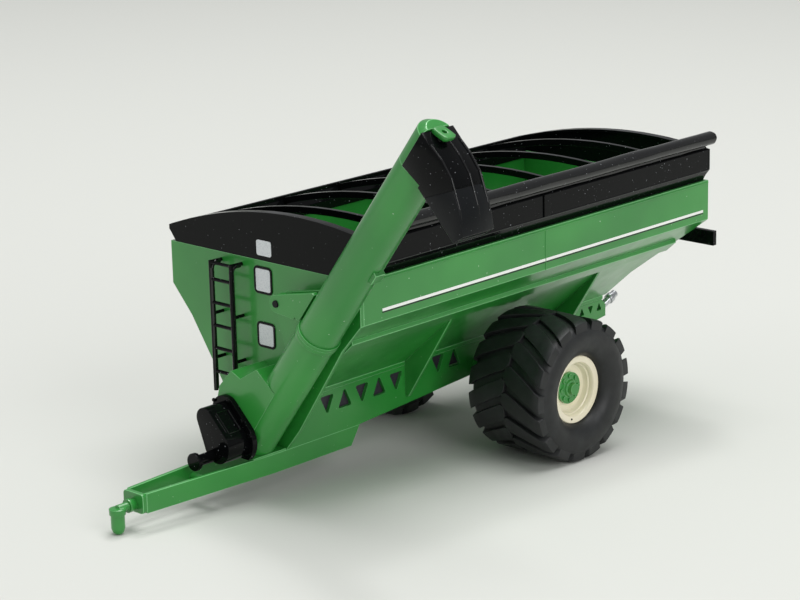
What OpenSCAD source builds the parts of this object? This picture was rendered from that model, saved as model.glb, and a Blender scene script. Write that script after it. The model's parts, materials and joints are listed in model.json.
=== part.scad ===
// Scale-model grain cart with a folding corner auger, 1:64.
// Lengths are millimetres. X runs to the cart's left, Y to its tail, Z up.
// The origin is the middle of the hitch pin. Modules are written about the
// point on the ground midway between the tyres, and placed by from_axle().

/* [Tank] */
// Length of the tank over its front and rear sheets
tank_l = 110.2; // [88:0.1:140]
// Width of the tank over its side sheets
tank_w = 53.4; // [44:0.1:66]
// Height of the tank's green rim above the ground
tank_top = 49.4; // [46:0.1:56]
// Height of the upright side panel
panel_h = 8.9; // [7:0.1:12]
// Height of the hopper's lower edge above the ground
hopper_z = 21.5; // [20:0.1:24]
// Thickness of the tank's sheets
sheet_t = 0.9; // [0.7:0.05:1.3]
// Distance of the front sheet ahead of the axle
front_reach = 57.6; // [50:0.1:66]

/* [Frame] */
// Width over the frame's side plates
frame_w = 10; // [8.4:0.1:12]
// Thickness of the frame's plates
plate_t = 0.8; // [0.6:0.05:1.1]
// Height of the drawbar's top edge above the ground
drawbar_top = 11.3; // [10:0.1:12]
// Depth of the drawbar's rails
drawbar_h = 4; // [3:0.1:5]
// Width over the drawbar's rails at the hitch end
drawbar_nose_w = 5.7; // [5:0.1:7]

/* [Hitch] */
// Distance of the hitch pin ahead of the axle
hitch_reach = 97.5; // [90:0.1:110]
// Diameter of the hitch pin
hitch_pin_d = 2.7; // [2:0.05:3.2]
// Length of the straight part of the hitch pin
hitch_pin_l = 2.7; // [2.2:0.1:3]
// Height of the middle of the hitch pin above the ground
hitch_mid_z = 6.6; // [6:0.1:8]

/* [Wheels] */
// Radius of a tyre over its lugs
tyre_r = 15.1; // [12.6:0.1:18.2]
// Width of a tyre
tyre_w = 20.3; // [16:0.1:24]
// Height of the lugs above the casing
lug_h = 1.3; // [0.9:0.1:1.8]
// Number of lugs in each of a tyre's two rows
lug_n = 17; // [12:1:20]
// Radius of the rim's outer edge
rim_r = 7.2; // [6:0.1:8.6]
// Diameter of the axle shaft
shaft_d = 2.4; // [2:0.05:2.8]
// Gap between a tyre's shoulder and the hopper sheet
tyre_gap = 1.2; // [0.8:0.1:3]

/* [Auger] */
// Outside diameter of the auger tube
tube_d = 8.3; // [6.9:0.05:10]
// Wall of the auger tube
tube_t = 0.9; // [0.7:0.05:1.2]
// Lean of the auger from upright, towards the cart's left
auger_lean = 36.87; // [32:0.01:40]
// Distance along the auger from its foot to the folding seam
seam_u = 31.7; // [29:0.1:36]
// Distance along the auger from its foot to the head cap's top
head_u = 86.4; // [80:0.1:92]
// Distance of the fold pin from the tube's wall
fold_reach = 6.35; // [5.8:0.05:8]
// Diameter of the fold pin
fold_pin_d = 1.4; // [1.1:0.05:1.8]
// Clearance between the auger's flange and the front sheet
flange_gap = 0.25; // [0.2:0.05:0.6]

/* [Tarp frame] */
// Height of the near side's black extension above the rim
near_h = 7.6; // [6.6:0.1:9]
// Height of the far side's black extension above the rim
far_h = 3.4; // [3:0.1:5]
// Rise of each bow's arch above its chord
bow_rise = 3; // [2:0.1:4.5]
// Number of bows between the front and rear caps
bow_n = 6; // [3:1:7]
// Diameter of the rolled tarp
roll_d = 3.2; // [2.6:0.1:4]
// Thickness of the extension's sheets
ext_t = 0.7; // [0.5:0.05:0.9]

/* [Hidden] */

green = "#3f9c49";
black = "#17191b";
cream = "#efe6c8";
rubber = "#242628";
steel = "#b9bcbf";
pane = "#d9dce0";

fine = 64;
eps = 0.02;          // overrun of a cut past the face it opens
run_gap = 0.05;      // radial running clearance on the shaft and the fold pin
seat_gap = 0.02;     // radial gap of a tube or stub that sits still in its hole

// Tank, seen from the front
half_w = tank_w / 2;
frame_half = frame_w / 2;
panel_z = tank_top - panel_h;
slope = (panel_z - hopper_z) / (half_w - frame_half);
front_y = -front_reach;
rear_y = front_y + tank_l;
inner_front_y = front_y + sheet_t;
tail_setback = 9.1;               // rear sheet's foot ahead of its rim
tail_y = rear_y - tail_setback;
tail_knee_z = panel_z - 12.5;     // where the sloping rear sheet turns upright

// Wheels
shoulder_drop = 1.5;              // a tyre's shoulder lies this far below its crown
tyre_in = frame_half + (2 * tyre_r - shoulder_drop + tyre_gap - hopper_z) / slope;
tyre_mid = tyre_in + tyre_w / 2;
rim_edge = tyre_w * 0.37;         // rim's edge from the tyre's middle
disc_a = 3.6;                     // wheel disc's inner face from the tyre's middle
disc_t = 1.3;
hub_r = 3.35;
axle_tube_r = 1.9;
shaft_end = tyre_mid + disc_a + disc_t + 0.6;

// Frame
frame_top = hopper_z - sheet_t;
frame_tail_low = 16.2;
drawbar_low = drawbar_top - drawbar_h;
nose_half = drawbar_nose_w / 2;
nose_y = -hitch_reach + 5;
rail_end = 21;                    // drawbar rails end this far behind the front sheet
hole_pitch = 5.05;

// Auger, about its own axis: Z along the tube, X outwards, Y to the tail
tube_r = tube_d / 2;
flange_r = tube_r + 0.3;
flange_t = 0.8;
auger_y = front_y - flange_gap - flange_r;
base_t = 0.4;
foot_z = drawbar_top + base_t;
auger_foot = [0.84, auger_y, 13.42];
pin_v = -(tube_r + fold_reach);
pin_u = seam_u - 1.6;
tube_top_u = head_u - 1.1;
cheek_half = tube_r + 0.05;
hood_t = 0.7;
boot_front = auger_y - tube_r - 0.05;
box_low_c = [1.5, 15.2];          // gearbox end circles, seen from the front
box_low_r = 3.5;
box_high_c = [-1.8, 20.3];
box_high_r = 2.2;
lip = 1.25;                       // flange's width round the gearbox
box_flange_t = 1.2;
box_depth = 5.3;
box_front = boot_front - box_flange_t - box_depth;
pto_c = [0, 13];
stub_r = 1.15;

// Tarp frame
ext_in = half_w - sheet_t - ext_t;      // inside face of the extension's foot
ext_lap = 1.6;                          // foot hidden inside the rim
ext_out = half_w + 0.3;                 // outside face of the extension's wall
near_top = tank_top + near_h;
far_top = tank_top + far_h;
cap_t = 0.55;
bow_w = 1;
bow_h = 1.4;
bow_near = near_top - 1;
bow_far = far_top - 0.5;
cap_near = near_top + 1.2;
cap_rise = bow_rise + 0.6;
cap_flange = 1.8;
roll_r = roll_d / 2;
roll_z = near_top + roll_r + 0.1;

// ---- placing and outline helpers ----

// From the point on the ground below the axle to the hitch pin's middle
module from_axle() translate([0, hitch_reach, -hitch_mid_z]) children();

// A front-view outline (x, z), from y0 back to y1
module front_view(y0, y1)
  translate([0, y1, 0]) rotate([90, 0, 0]) linear_extrude(y1 - y0) children();

// A side-view outline (y, z), from x0 to x1
module side_view(x0, x1)
  translate([x0, 0, 0]) rotate([90, 0, 90]) linear_extrude(x1 - x0) children();

// A copy on the cart's right
module right_side() mirror([1, 0, 0]) children();

module on_auger() translate(auger_foot) rotate([0, auger_lean, 0]) children();

// An auger-view outline (outwards, along), as wide as the cheeks' distance
module auger_view(y0, y1)
  translate([0, y1, 0]) rotate([90, 0, 0]) linear_extrude(y1 - y0) children();

module rod_x(x0, x1, y, z, r)
  translate([x0, y, z]) rotate([0, 90, 0]) cylinder(h = x1 - x0, r = r, $fn = fine);
module rod_y(y0, y1, x, z, r)
  translate([x, y0, z]) rotate([-90, 0, 0]) cylinder(h = y1 - y0, r = r, $fn = fine);

function unit(a, b) = (b - a) / norm(b - a);
function left_of(d) = [-d[1], d[0]];
function mitre(p, i) =
  i == 0 ? left_of(unit(p[0], p[1])) :
  i == len(p) - 1 ? left_of(unit(p[i - 1], p[i])) :
  let (n1 = left_of(unit(p[i - 1], p[i])), n2 = left_of(unit(p[i], p[i + 1])))
  (n1 + n2) / (1 + n1 * n2);

// Outline of a bent sheet: a line of points and its thickness to the left
function ribbon(p, t) =
  concat(p, [for (i = [len(p) - 1 : -1 : 0]) p[i] + t * mitre(p, i)]);

// Height of an arch above x, from its ends' heights and its rise
function arch(x, far, near, rise) =
  far + (near - far) * (x + half_w) / tank_w + rise * (1 - pow(x / half_w, 2));
arch_n = 24;
function arch_line(x0, x1, far, near, rise, drop = 0) =
  [for (i = [0 : arch_n]) let (x = x0 + (x1 - x0) * i / arch_n) [x, arch(x, far, near, rise) - drop]];
function arch_band(x0, x1, far, near, rise, h) =
  concat(arch_line(x0, x1, far, near, rise), arch_line(x1, x0, far, near, rise, h));

// ---- tank ----

side_line = [[frame_half, hopper_z], [half_w, panel_z], [half_w, tank_top]];

module tank_side_limit()
  side_view(-half_w - 1, half_w + 1)
    polygon([[inner_front_y, 0], [inner_front_y, tank_top], [rear_y, tank_top], [rear_y, panel_z],
             [tail_y, tail_knee_z], [tail_y, 0]]);

module side_sheet_left() color(green)
  intersection() {
    front_view(inner_front_y, rear_y) polygon(ribbon(side_line, sheet_t));
    tank_side_limit();
  }

module side_sheet_right() right_side() side_sheet_left();

// The room between the two side sheets, seen from the front
inner_line = ribbon(side_line, sheet_t);
module tank_room()
  polygon([inner_line[5], inner_line[4], inner_line[3], [-inner_line[3][0], inner_line[3][1]],
           [-inner_line[4][0], inner_line[4][1]], [-inner_line[5][0], inner_line[5][1]]]);

wall_foot_z = drawbar_top;
module front_sheet() color(green)
  front_view(front_y, inner_front_y)
    polygon([[half_w, tank_top], [half_w, panel_z], [half_w - 5.3, panel_z - 5.9],
             [frame_half + 4, drawbar_top + 4.8], [frame_half, wall_foot_z],
             [-frame_half, wall_foot_z], [-frame_half - 4, drawbar_top + 4.8],
             [-half_w + 5.3, panel_z - 5.9], [-half_w, panel_z], [-half_w, tank_top]]);

module rear_sheet() color(green)
  intersection() {
    side_view(-half_w, half_w)
      polygon(ribbon([[rear_y, tank_top], [rear_y, panel_z], [tail_y, tail_knee_z], [tail_y, hopper_z]],
                     -sheet_t));
    front_view(tail_y - 5, rear_y + 1) tank_room();
  }

module hopper_floor() color(green)
  front_view(inner_front_y, tail_y - sheet_t)
    polygon([[frame_half, hopper_z], inner_line[5], [-inner_line[5][0], inner_line[5][1]],
             [-frame_half, hopper_z], [-frame_half, hopper_z - sheet_t], [frame_half, hopper_z - sheet_t]]);

// A channel laid along the hopper sheet
rail_in = 14;                    // from the frame's side to the channel, level
rail_w = 4.4;
rail_h = 0.8;
module hopper_rail_left() color(green) {
  d = unit(side_line[0], side_line[1]);
  out = [d[1], -d[0]];
  a = [frame_half + rail_in, hopper_z + rail_in * slope];
  intersection() {
    front_view(inner_front_y + 1, rear_y - 6)
      polygon([a, a + d * 0.5 + out * rail_h, a + d * (rail_w - 0.5) + out * rail_h, a + d * rail_w]);
    tank_side_limit();
  }
}
module hopper_rail_right() right_side() hopper_rail_left();

gusset_y = [-22.5, 25];
gusset_foot = 14;
module gussets_left() color(green)
  for (y = gusset_y)
    front_view(y - plate_t / 2, y + plate_t / 2)
      polygon([[frame_half, gusset_foot], [frame_half + 0.9, gusset_foot],
               [frame_half + rail_in - 0.3, hopper_z + (rail_in - 0.3) * slope], [frame_half, hopper_z]]);
module gussets_right() right_side() gussets_left();

// ---- frame ----

frame_line = [[inner_front_y, drawbar_top], [-37, drawbar_top], [-14.5, drawbar_top + 1.6],
              [tail_y - 3.3, frame_tail_low], [tail_y, frame_tail_low + 0.4],
              [tail_y, frame_top - 1.3], [tail_y - 1.3, frame_top], [inner_front_y, frame_top]];

module tri_hole(y, z, up, s = 1)
  translate([y, z]) mirror([0, up ? 0 : 1])
    offset(r = 0.35 * s, $fn = 16) polygon([[-1.45 * s, -1.45 * s], [1.45 * s, -1.45 * s], [0, 1.55 * s]]);

// Runs of triangular holes: start, height, count and size
hole_runs = [[-45.8, 17.9, 5, 1], [-12.7, 18.6, 2, 1]];
small_pitch = 3.05;
module frame_holes() {
  for (r = hole_runs, i = [0 : r[2] - 1]) tri_hole(r[0] + i * hole_pitch, r[1], i % 2 == 1, r[3]);
  for (i = [0 : 2]) tri_hole(tail_y - 8.4 + i * small_pitch, frame_top - 1.5, i % 2 == 0, 0.45);
}

module frame_plate_left() color(green)
  difference() {
    side_view(frame_half - plate_t, frame_half) difference() {
      polygon(frame_line);
      frame_holes();
    }
    rod_x(0, half_w, 0, tyre_r, axle_tube_r + seat_gap);
  }
module frame_plate_right() right_side() frame_plate_left();

// Dark plates seen through the frame's holes
liner_t = 0.4;
module frame_liner() color("#2a2530")
  for (s = [0, 1]) mirror([s, 0, 0]) {
    side_view(frame_half - plate_t - liner_t, frame_half - plate_t)
      translate([-48.5, 15.2]) square([24.6, 5]);
    side_view(frame_half - plate_t - liner_t, frame_half - plate_t)
      translate([-15.4, 17.05]) square([10.4, 3.3]);
    side_view(frame_half - plate_t - liner_t, frame_half - plate_t)
      translate([tail_y - 9.9, frame_top - 2.8]) square([9, 2.4]);
  }

module frame_tail_plate() color(green) {
  front_view(tail_y - plate_t, tail_y)
    translate([-frame_half + plate_t, frame_tail_low + 0.3]) square([frame_w - 2 * plate_t, 2.4]);
}

coupler_r = 0.85;
module tail_coupler() color(steel)
  intersection() {
    translate([frame_half - 1.9, tail_y - 1, frame_tail_low + 1.2]) rotate([-67, 0, 0]) {
      cylinder(h = 7.4, r = coupler_r, $fn = fine);
      translate([0, 0, 4.8]) cylinder(h = 1.2, r = coupler_r + 0.3, $fn = fine);
    }
    translate([0, tail_y, 0]) cube([half_w, 20, tank_top]);
  }

// ---- drawbar and hitch ----

module drawbar_rail_left() color(green)
  intersection() {
    translate([0, 0, drawbar_low]) linear_extrude(drawbar_h)
      polygon([[nose_half, nose_y], [frame_half, front_y - 3.4], [frame_half, front_y + rail_end + 1],
               [frame_half - plate_t, front_y + rail_end + 1], [frame_half - plate_t, front_y - 3.4],
               [nose_half - plate_t, nose_y]]);
    side_view(0, half_w)
      polygon([[nose_y, drawbar_low], [front_y + rail_end - 2.6, drawbar_low],
               [front_y + rail_end, drawbar_top], [nose_y, drawbar_top]]);
  }
module drawbar_rail_right() right_side() drawbar_rail_left();

module drawbar_nose() color(green)
  translate([0, 0, drawbar_low + drawbar_h / 2])
    front_view(nose_y - 1, nose_y)
      offset(r = 0.8, $fn = 24) square([drawbar_nose_w - 1.6, drawbar_h - 1.6], center = true);

function rail_inner(y) =
  nose_half - plate_t + (frame_half - nose_half) * (y - nose_y) / (front_y - 3.4 - nose_y);
cross_r = 0.9;
module drawbar_cross_tubes() color(green) {
  for (y = [box_front - 2.5, front_y + 8])
    let (h = min(frame_half - plate_t, rail_inner(y - cross_r)))
    rod_x(-h, h, y, drawbar_low + 1.5, cross_r);
}

// The neck leaves the pin's head above the straight part, so a drawbar's
// hole can come up the pin from below.
neck_r = 1.15;
neck_thin_r = 0.85;
pin_r = hitch_pin_d / 2;
pin_foot = [[1.25, 0.75], [0.8, 0.28], [0, 0]];   // below the straight part, and in from its wall
pin_top_chamfer = 0.15;
pin_head_step = 0.25;
pin_low = hitch_mid_z - hitch_pin_l / 2;
pin_high = hitch_mid_z + hitch_pin_l / 2;
neck_z = pin_high + 0.1 + neck_thin_r;
pin_top = neck_z + 0.35;
collar_y = [2.4, 3.1];            // round collar on the neck, from the pin's axis
module hitch_pin() color(green)
  translate([0, -hitch_reach, 0]) {
    for (i = [0, 1])
      translate([0, 0, pin_low - pin_foot[i][0]])
        cylinder(h = pin_foot[i][0] - pin_foot[i + 1][0], r1 = pin_r - pin_foot[i][1],
                 r2 = pin_r - pin_foot[i + 1][1], $fn = fine);
    translate([0, 0, pin_low]) cylinder(h = hitch_pin_l, r = pin_r, $fn = fine);
    translate([0, 0, pin_high])
      cylinder(h = pin_top - pin_top_chamfer - pin_high, r = pin_r + pin_head_step, $fn = fine);
    translate([0, 0, pin_top - pin_top_chamfer])
      cylinder(h = pin_top_chamfer, r1 = pin_r + pin_head_step, r2 = pin_r - pin_top_chamfer, $fn = fine);
    rod_y(0, collar_y[1], 0, neck_z, neck_thin_r);
    rod_y(collar_y[0], collar_y[1], 0, neck_z, neck_r + 0.2);
    rod_y(collar_y[1], hitch_reach + nose_y - 1, 0, neck_z, neck_r);
  }

// ---- axle and wheels ----

module axle_tube() color(green)
  difference() {
    rod_x(-tyre_in + 0.5, tyre_in - 0.5, 0, tyre_r, axle_tube_r);
    rod_x(-tyre_in, tyre_in, 0, tyre_r, shaft_d / 2);
  }

module axle_shaft() color(steel)
  rod_x(-shaft_end, shaft_end, 0, tyre_r, shaft_d / 2);

// Wheel parts are turned about Z, outer face up, and set on the axle
module on_wheel() translate([tyre_mid, 0, tyre_r]) rotate([0, 90, 0]) children();

module rim() color(cream)
  difference() {
    rotate_extrude($fn = 96)
      polygon([[shaft_d / 2 + run_gap, -rim_edge], [shaft_d / 2 + 1.6, -rim_edge],
               [shaft_d / 2 + 1.6, disc_a], [rim_r - 2.2, disc_a], [rim_r - 0.9, disc_a - 1.2],
               [rim_r - 0.9, -rim_edge], [rim_r, -rim_edge], [rim_r, rim_edge],
               [rim_r - 0.7, rim_edge], [rim_r - 1.5, rim_edge - 1.3], [rim_r - 1.9, disc_a + disc_t],
               [shaft_d / 2 + run_gap, disc_a + disc_t]]);
    for (i = [0 : 7]) rotate(i * 45) translate([hub_r - 0.75, 0, disc_a - eps])
      cylinder(h = disc_t + 1, r = 0.28, $fn = 24);
  }

casing_r = tyre_r - lug_h;
module casing()
  rotate_extrude($fn = 96)
    polygon([[rim_r, -rim_edge + 0.3], [rim_r + 0.9, -rim_edge - 0.6], [rim_r + 3.2, -tyre_w / 2 + 0.3],
             [casing_r - 2.6, -tyre_w / 2 + 0.2], [casing_r - 0.9, -tyre_w / 2 + 1.2],
             [casing_r, -tyre_w / 2 + 3], [casing_r, tyre_w / 2 - 3],
             [casing_r - 0.9, tyre_w / 2 - 1.2], [casing_r - 2.6, tyre_w / 2 - 0.2],
             [rim_r + 3.2, tyre_w / 2 - 0.3], [rim_r + 0.9, rim_edge + 0.6], [rim_r, rim_edge - 0.3]]);

// A slanted bar across half the tread, cut to the tread's crown by tyre()
lug_w = 3.1;
lug_lean = 34;
lug_reach = tyre_w / 2 - 0.6;
module lug()
  translate([0, tyre_r * 0.6, 0]) rotate([-90, 0, 0])
    linear_extrude(tyre_r * 0.5)
      polygon([[1, 0.8], [1 - lug_w, 0.8], [-lug_w - tan(lug_lean) * lug_reach, -lug_reach],
               [-tan(lug_lean) * lug_reach, -lug_reach]]);

module tread_envelope()
  rotate_extrude($fn = 96)
    polygon([[tyre_r * 0.6, -tyre_w / 2 + 0.4], [casing_r - 1.9, -tyre_w / 2 + 0.4],
             [tyre_r - 0.5, -tyre_w / 2 + 1.1], [tyre_r, -tyre_w / 2 + 2.2], [tyre_r, tyre_w / 2 - 2.2],
             [tyre_r - 0.5, tyre_w / 2 - 1.1], [casing_r - 1.9, tyre_w / 2 - 0.4],
             [tyre_r * 0.6, tyre_w / 2 - 0.4]]);

module tyre() color(rubber) {
  casing();
  intersection() {
    tread_envelope();
    for (i = [0 : lug_n - 1]) {
      rotate(i * 360 / lug_n) lug();
      rotate((i + 0.5) * 360 / lug_n) mirror([0, 0, 1]) lug();
    }
  }
}

module hub() color(green)
  difference() {
    union() {
      translate([0, 0, disc_a + disc_t]) cylinder(h = 0.7, r = hub_r, $fn = fine);
      translate([0, 0, disc_a + disc_t + 0.7]) cylinder(h = 0.5, r1 = 1.9, r2 = 1.6, $fn = fine);
      translate([0, 0, disc_a + disc_t + 1.2]) cylinder(h = 0.9, r1 = 1.35, r2 = 1.15, $fn = fine);
    }
    translate([0, 0, disc_a + disc_t - eps]) cylinder(h = 0.7, r = shaft_d / 2 + run_gap, $fn = fine);
    for (i = [0 : 7]) rotate(i * 45) translate([hub_r - 0.75, 0, disc_a]) cylinder(h = 3, r = 0.28, $fn = 24);
  }

module wheel_bolts() color(steel)
  for (i = [0 : 7]) rotate(i * 45) translate([hub_r - 0.75, 0, disc_a + 0.2]) {
    cylinder(h = disc_t + 0.5, r = 0.28, $fn = 24);
    translate([0, 0, disc_t + 0.5]) cylinder(h = 0.3, r = 0.45, $fn = 24);
  }

module rim_left() on_wheel() rim();
module rim_right() right_side() rim_left();
module tyre_left() on_wheel() tyre();
module tyre_right() right_side() tyre_left();
module hub_left() on_wheel() hub();
module hub_right() right_side() hub_left();
module wheel_bolts_left() on_wheel() wheel_bolts();
module wheel_bolts_right() right_side() wheel_bolts_left();

// ---- auger boot and gearbox ----

module boot_base() color(green)
  translate([-tube_r - 2.2, boot_front, drawbar_top])
    cube([tube_r + 2.2 + frame_half, front_y - boot_front, base_t]);

// The housing beside the tube's foot, its top square to the tube
module boot_housing() color(green)
  difference() {
    front_view(boot_front, front_y)
      polygon([[-5, foot_z], [-5, 22], [-4.1, 25.1], [-0.6, 28.8], [2, 27.6], [6.7, 30.4], [11.6, 26.4],
               [1, foot_z]]);
    on_auger() translate([0, 0, -12]) cylinder(h = 60, r = tube_r + seat_gap, $fn = fine);
  }

module gearbox_outline(grow)
  hull() {
    translate(box_high_c) circle(r = box_high_r + grow, $fn = 32);
    translate(box_low_c) circle(r = box_low_r + grow, $fn = 32);
  }

module gearbox_flange() color(black)
  front_view(boot_front - box_flange_t, boot_front)
    intersection() {
      gearbox_outline(lip);
      translate([-half_w, foot_z]) square([tank_w, tank_top]);
    }

module gearbox() color(black)
  difference() {
    front_view(box_front, boot_front - box_flange_t) gearbox_outline(0);
    rod_y(box_front - 1, box_front + 3, pto_c[0], pto_c[1], stub_r + seat_gap);
  }

bolt_spots = [[-4.4, 22.4], [-0.2, 23.0], [3.3, 19.6], [5.6, 17.0], [-4.1, 16.8]];
module gearbox_bolts() color(black)
  for (p = bolt_spots)
    rod_y(boot_front - box_flange_t - 0.4, boot_front - box_flange_t, p[0], p[1], 0.4);

module pto_stub() color(black) {
  rod_y(box_front - 4, box_front + 3, pto_c[0], pto_c[1], stub_r);
  rod_y(box_front - 4.9, box_front - 4, pto_c[0], pto_c[1], 1.8);
}

// ---- auger tubes ----

// A hollow round tube along the auger from u0 to u1
module pipe(u0, u1, r)
  translate([0, 0, u0]) difference() {
    cylinder(h = u1 - u0, r = r, $fn = fine);
    translate([0, 0, -eps]) cylinder(h = u1 - u0 + 2 * eps, r = r - tube_t, $fn = fine);
  }

module lower_tube() color(green)
  intersection() {
    on_auger() difference() {
      translate([0, 0, -8]) cylinder(h = seam_u - flange_t + 8, r = tube_r, $fn = fine);
      translate([0, 0, -2]) cylinder(h = seam_u, r = tube_r - tube_t, $fn = fine);
    }
    translate([-tank_w, auger_y - 10, foot_z]) cube([2 * tank_w, 20, tank_top]);
  }

// Outline of a fold ear: a round eye and a web to the tube
ear_r = 1.75;
module ear(u0, u1)
  hull() {
    translate([pin_v, pin_u]) circle(r = ear_r, $fn = 32);
    translate([-tube_r - 0.6, u0]) square([0.6, u1 - u0]);
  }

ear_t = 1.2;
ear_gap = 0.15;
module lower_flange() color(green)
  on_auger() difference() {
    union() {
      translate([0, 0, seam_u - flange_t]) cylinder(h = flange_t, r = flange_r, $fn = fine);
      difference() {
        auger_view(-ear_t / 2, ear_t / 2) ear(seam_u - 8, seam_u - flange_t);
        translate([0, 0, 0]) cylinder(h = seam_u - flange_t, r = tube_r, $fn = fine);
      }
    }
    translate([pin_v, 0, pin_u]) rotate([90, 0, 0])
      cylinder(h = 8, d = fold_pin_d, center = true, $fn = fine);
  }

module upper_flange() color(green)
  on_auger() difference() {
    union() {
      translate([0, 0, seam_u]) cylinder(h = flange_t, r = flange_r, $fn = fine);
      difference() {
        for (s = [-1, 1])
          translate([0, s * (ear_t + ear_gap), 0])
            auger_view(-ear_t / 2, ear_t / 2) ear(seam_u + 0.2, seam_u + 7.5);
        translate([0, 0, seam_u + flange_t]) cylinder(h = 20, r = tube_r, $fn = fine);
        translate([-flange_r - 1, -5, seam_u - 5]) cube([2 * flange_r + 2, 10, 5]);
      }
    }
    translate([pin_v, 0, pin_u]) rotate([90, 0, 0])
      cylinder(h = 8, d = fold_pin_d + 2 * run_gap, center = true, $fn = fine);
  }

module fold_pin() color(steel)
  on_auger() translate([pin_v, 0, pin_u]) rotate([90, 0, 0])
    cylinder(h = 3 * ear_t + 2 * ear_gap + 0.6, d = fold_pin_d, center = true, $fn = fine);

module upper_tube() color(green)
  on_auger() pipe(seam_u + flange_t, tube_top_u - 7.5, tube_r);

// Cap over the tube's head, on the side away from the spout
hood_u0 = head_u - 9.2;
module auger_head_cap() color(green)
  on_auger() difference() {
    union() {
      translate([0, 0, tube_top_u - 7.5]) cylinder(h = 7.5, r = tube_r, $fn = fine);
      translate([0, 0, tube_top_u])
        cylinder(h = head_u - tube_top_u, r1 = tube_r, r2 = tube_r - 1.2, $fn = fine);
    }
    translate([-0.9, -10, 0]) cube([20, 20, tube_top_u]);
    translate([-0.9, -10, tube_top_u - eps]) cube([20, 20, 3]);
  }

// Outline of the spout (outwards, along), upper and lower parts
hood_line = [[-0.9, hood_u0 + 0.6], [-0.9, head_u - 0.4], [1.8, head_u - 0.9], [5.2, head_u - 1.3],
             [8.8, head_u - 2.4], [10.6, head_u - 3.6], [6.4, head_u - 9.6],
             [tube_r + 0.1, head_u - 9.2], [tube_r + 0.1, hood_u0 + 0.6]];
chute_line = [[6.4, head_u - 9.6], [10.6, head_u - 3.6], [13.6, head_u - 5.5], [17.2, head_u - 8.8],
              [16.1, head_u - 11.4]];

// A box of thin walls on an outline, open where the cut outline runs out
module spout_shell(line, cut)
  difference() {
    auger_view(-cheek_half, cheek_half) polygon(line);
    auger_view(-cheek_half + hood_t, cheek_half - hood_t) polygon(cut);
  }

module spout_hood() color(black)
  on_auger() spout_shell(hood_line,
    [[-1.5, hood_u0 + 1.6], [-1.5, head_u - 1.2], [1.7, head_u - 1.6], [5, head_u - 2],
     [8.5, head_u - 3.1], [10.9, head_u - 4.6], [7.3, head_u - 9.9], [6.6, head_u - 8.9],
     [tube_r + 0.6, head_u - 8.4], [tube_r + 0.6, hood_u0 + 0.5], [2, hood_u0 + 0.5]]);

module spout_chute() color("#222527")
  on_auger() spout_shell(chute_line,
    [[7, head_u - 9.5], [10.2, head_u - 4.2], [13.1, head_u - 6.1], [17.4, head_u - 10.1],
     [17, head_u - 11.6], [16.2, head_u - 10.6]]);

module spout_bracket() color(green)
  on_auger() difference() {
    auger_view(-1.6, 1.6)
      polygon([[-0.9, head_u - 0.4], [-0.9, head_u + 1], [2.6, head_u + 0.7], [4.6, head_u - 1.22],
               [1.8, head_u - 0.9]]);
    translate([1.2, 0, head_u]) rotate([90, 0, 0]) cylinder(h = 8, r = 0.45, center = true, $fn = fine);
  }

// Small clip and rivet on the tube's outer side, where it rests when folded
clip_u = 51;
module saddle_clip() color(green)
  on_auger() difference() {
    auger_view(-1.3, 1.3)
      polygon([[tube_r - 0.6, clip_u], [tube_r + 0.7, clip_u + 0.4], [tube_r + 0.7, clip_u + 2.6],
               [tube_r - 0.6, clip_u + 3]]);
    translate([0, 0, clip_u - 5]) cylinder(h = 12, r = tube_r, $fn = fine);
  }

// ---- ladder, windows and stripes ----

ladder_y = front_y - 2.9;
ladder_x = [-11.75, -5.85];
ladder_low = 21.2;
ladder_high = tank_top - 1.6;
rail_r = 0.45;
rung_z = [25.3, 30.2, 34.9, 39.6, 44.4];
module ladder() color(black) {
  for (x = ladder_x) {
    translate([x, ladder_y, ladder_low]) cylinder(h = ladder_high - ladder_low + 0.35, r = rail_r, $fn = 32);
    rod_y(ladder_y, front_y, x, ladder_high, rail_r - 0.06);
  }
  for (z = rung_z) rod_x(ladder_x[0], ladder_x[1], ladder_y, z, 0.36);
  rod_x(ladder_x[0], ladder_x[1], ladder_y, ladder_high, 0.34);
}

module ladder_standoffs() color(black)
  for (x = ladder_x, z = [28, 37.2])
    rod_y(ladder_y + rail_r, front_y, x, z, 0.35);

// Windows: middle x, low z and height
window_w = 4.1;
windows = [[0.25, 43.1, 4.6], [0.6, 32.1, 4.3]];
frame_rim = 0.5;
module window_shape(w, grow)
  translate([w[0] - window_w / 2, w[1]])
    offset(r = 0.5 + grow, $fn = 24) translate([0.5, 0.5]) square([window_w - 1, w[2] - 1]);

upper_window = [0.75, tank_top + 1, 3.1];
module window_frames() color(black)
  for (w = windows)
    front_view(front_y - 0.2, front_y) difference() {
      window_shape(w, frame_rim);
      window_shape(w, 0);
    }
module window_panes() color(pane) {
  for (w = windows) front_view(front_y - 0.12, front_y) window_shape(w, 0);
  front_view(front_y - 0.12, front_y) window_shape(upper_window, 0);
}

stripe_h = 0.55;
module side_stripes() color("white")
  for (s = [0, 1]) mirror([s, 0, 0])
    side_view(half_w, half_w + 0.08)
      translate([front_y + 6, panel_z + 1.9]) square([tank_l - 8, stripe_h]);

// ---- tarp frame ----

function ext_line(top) =
  [[ext_in + ext_t, tank_top - ext_lap], [ext_in + ext_t, tank_top + 0.2], [ext_out, tank_top + 2.3],
   [ext_out, top - 0.7], [ext_out - 0.8, top]];

// An extension sheet between the caps, its foot between the end sheets
module extension_sheet(line)
  difference() {
    front_view(front_y + cap_t, rear_y - cap_t) polygon(ribbon(line, ext_t));
    for (y = [front_y - 1, rear_y - sheet_t])
      translate([0, y, tank_top - ext_lap - 1]) cube([half_w, sheet_t + 1, ext_lap + 1]);
  }

module extension_left() color(black) extension_sheet(ext_line(near_top));

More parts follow.
